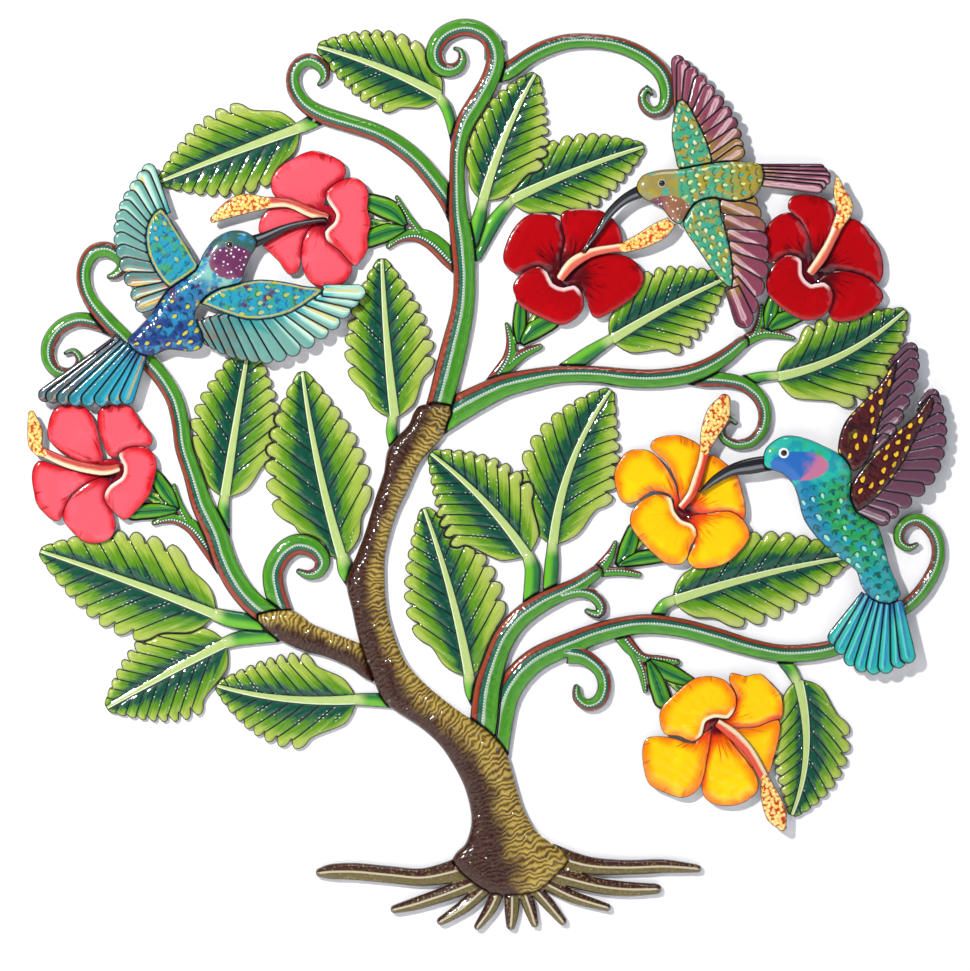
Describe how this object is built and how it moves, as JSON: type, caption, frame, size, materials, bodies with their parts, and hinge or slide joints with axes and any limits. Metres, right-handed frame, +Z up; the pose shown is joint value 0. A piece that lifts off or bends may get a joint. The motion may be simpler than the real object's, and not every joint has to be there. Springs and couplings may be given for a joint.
{
  "type": "tree of life wall plaque",
  "caption": "Round wall plaque of a tree with scrolling vines, leaves, hibiscus flowers and hummingbirds, cut and hammered from painted sheet steel",
  "frame": {"origin": "centre of the hanging hole at its mouth on the wall plane", "axes": "+Z up, +X to the right seen from the front, +Y into the wall; the painted front faces -Y"},
  "size_m": [0.8539, 0.021, 0.8475],
  "materials": {
    "trunk": "glossy enamel over hammered sheet steel, dark maroon and golden olive",
    "vine": "glossy enamel, bright green with a rust-red and a dark teal stripe and pale dots",
    "leaf": "glossy enamel, yellow-green edge and dark teal heart with black veins",
    "calyx": "glossy enamel, bright green with dark edges",
    "petal_pink": "glossy enamel, pink with red edges and a dark maroon throat",
    "petal_red": "glossy enamel, deep red with near-black shading",
    "petal_yellow": "glossy enamel, yellow with orange edges and a red throat",
    "stamen": "glossy enamel, cream with red-orange and dark speckles",
    "bird_blue": "glossy enamel, turquoise, navy and mint with gold scallops",
    "bird_green": "glossy enamel, gold-green with plum and pink feathers",
    "bird_teal": "glossy enamel, green and turquoise with maroon wings",
    "steel": "dark bare steel"
  },
  "bodies": {
    "root": {"trunk_with_roots": "trunk", "left_limb": "trunk", "main_vine": "vine", "left_arch_vine": "vine", "right_arch_vine": "vine", "right_vine": "vine", "right_scroll": "vine", "left_vine": "vine", "left_scroll_low": "vine", "left_curl": "vine", "upper_fork_vine": "vine", "lower_fork_vine": "vine", "leaf_a": "leaf", "leaf_b": "leaf", "leaf_c": "leaf", "leaf_d": "leaf", "leaf_e": "leaf", "leaf_f": "leaf", "leaf_g": "leaf", "leaf_h": "leaf", "leaf_i": "leaf", "leaf_j": "leaf", "leaf_k": "leaf", "leaf_l": "leaf", "leaf_m": "leaf", "leaf_n": "leaf", "leaf_o": "leaf", "leaf_p": "leaf", "leaf_q": "leaf", "calyx_1": "calyx", "calyx_2": "calyx", "calyx_3": "calyx", "calyx_4": "calyx", "calyx_5": "calyx", "calyx_6": "calyx", "corolla_1": "petal_pink", "corolla_2": "petal_pink", "corolla_3": "petal_red", "corolla_4": "petal_red", "corolla_5": "petal_yellow", "corolla_6": "petal_yellow", "stamen_1": "stamen", "stamen_2": "stamen", "stamen_3": "stamen", "stamen_4": "stamen", "stamen_5": "stamen", "stamen_6": "stamen", "bird_1_body": "bird_blue", "bird_1_wing_left": "bird_blue", "bird_1_wing_right": "bird_blue", "bird_2_body": "bird_green", "bird_2_wing_up": "bird_green", "bird_2_wing_down": "bird_green", "bird_3_body": "bird_teal", "bird_3_wing_left": "bird_teal", "bird_3_wing_right": "bird_teal", "hanging_strap": "steel", "stem_rivets": "steel", "flower_posts": "steel", "bird_posts": "steel"}
  },
  "joints": []
}
